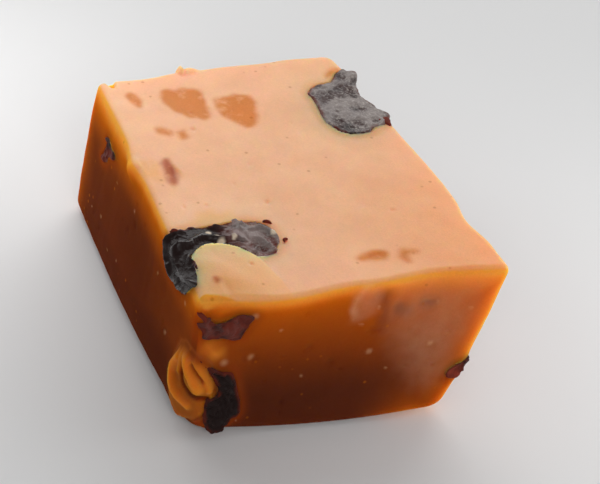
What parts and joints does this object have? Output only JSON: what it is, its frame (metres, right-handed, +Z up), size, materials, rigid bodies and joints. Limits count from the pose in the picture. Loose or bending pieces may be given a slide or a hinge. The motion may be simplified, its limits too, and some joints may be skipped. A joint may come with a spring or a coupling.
{
  "type": "fudge cube",
  "caption": "Hand-cut block of raisin fudge, wider at the top than at the foot, with wrinkled raisins set into its cut faces.",
  "frame": {"origin": "centre of the bounding box's underside, on the surface that the block rests on", "axes": "+Z up out of the top face, -Y out of the front cut face, +X to the right, with the block's longest side along Y"},
  "size_m": [0.0252, 0.0322, 0.0142],
  "materials": {
    "fudge": "satin",
    "raisin": "wrinkled, slightly glossy"
  },
  "bodies": {
    "root": {"fudge_block": "fudge", "raisin_back_bud": "raisin", "raisin_back_corner": "raisin", "raisin_back_fork": "raisin", "raisin_back_sliver": "raisin", "raisin_curl": "raisin", "raisin_front_boat": "raisin", "raisin_front_foot": "raisin", "raisin_left_bud": "raisin", "raisin_right_bud": "raisin", "raisin_right_edge": "raisin", "raisin_right_leaf": "raisin", "raisin_under_boat": "raisin", "raisin_under_leaf": "raisin"}
  },
  "joints": []
}
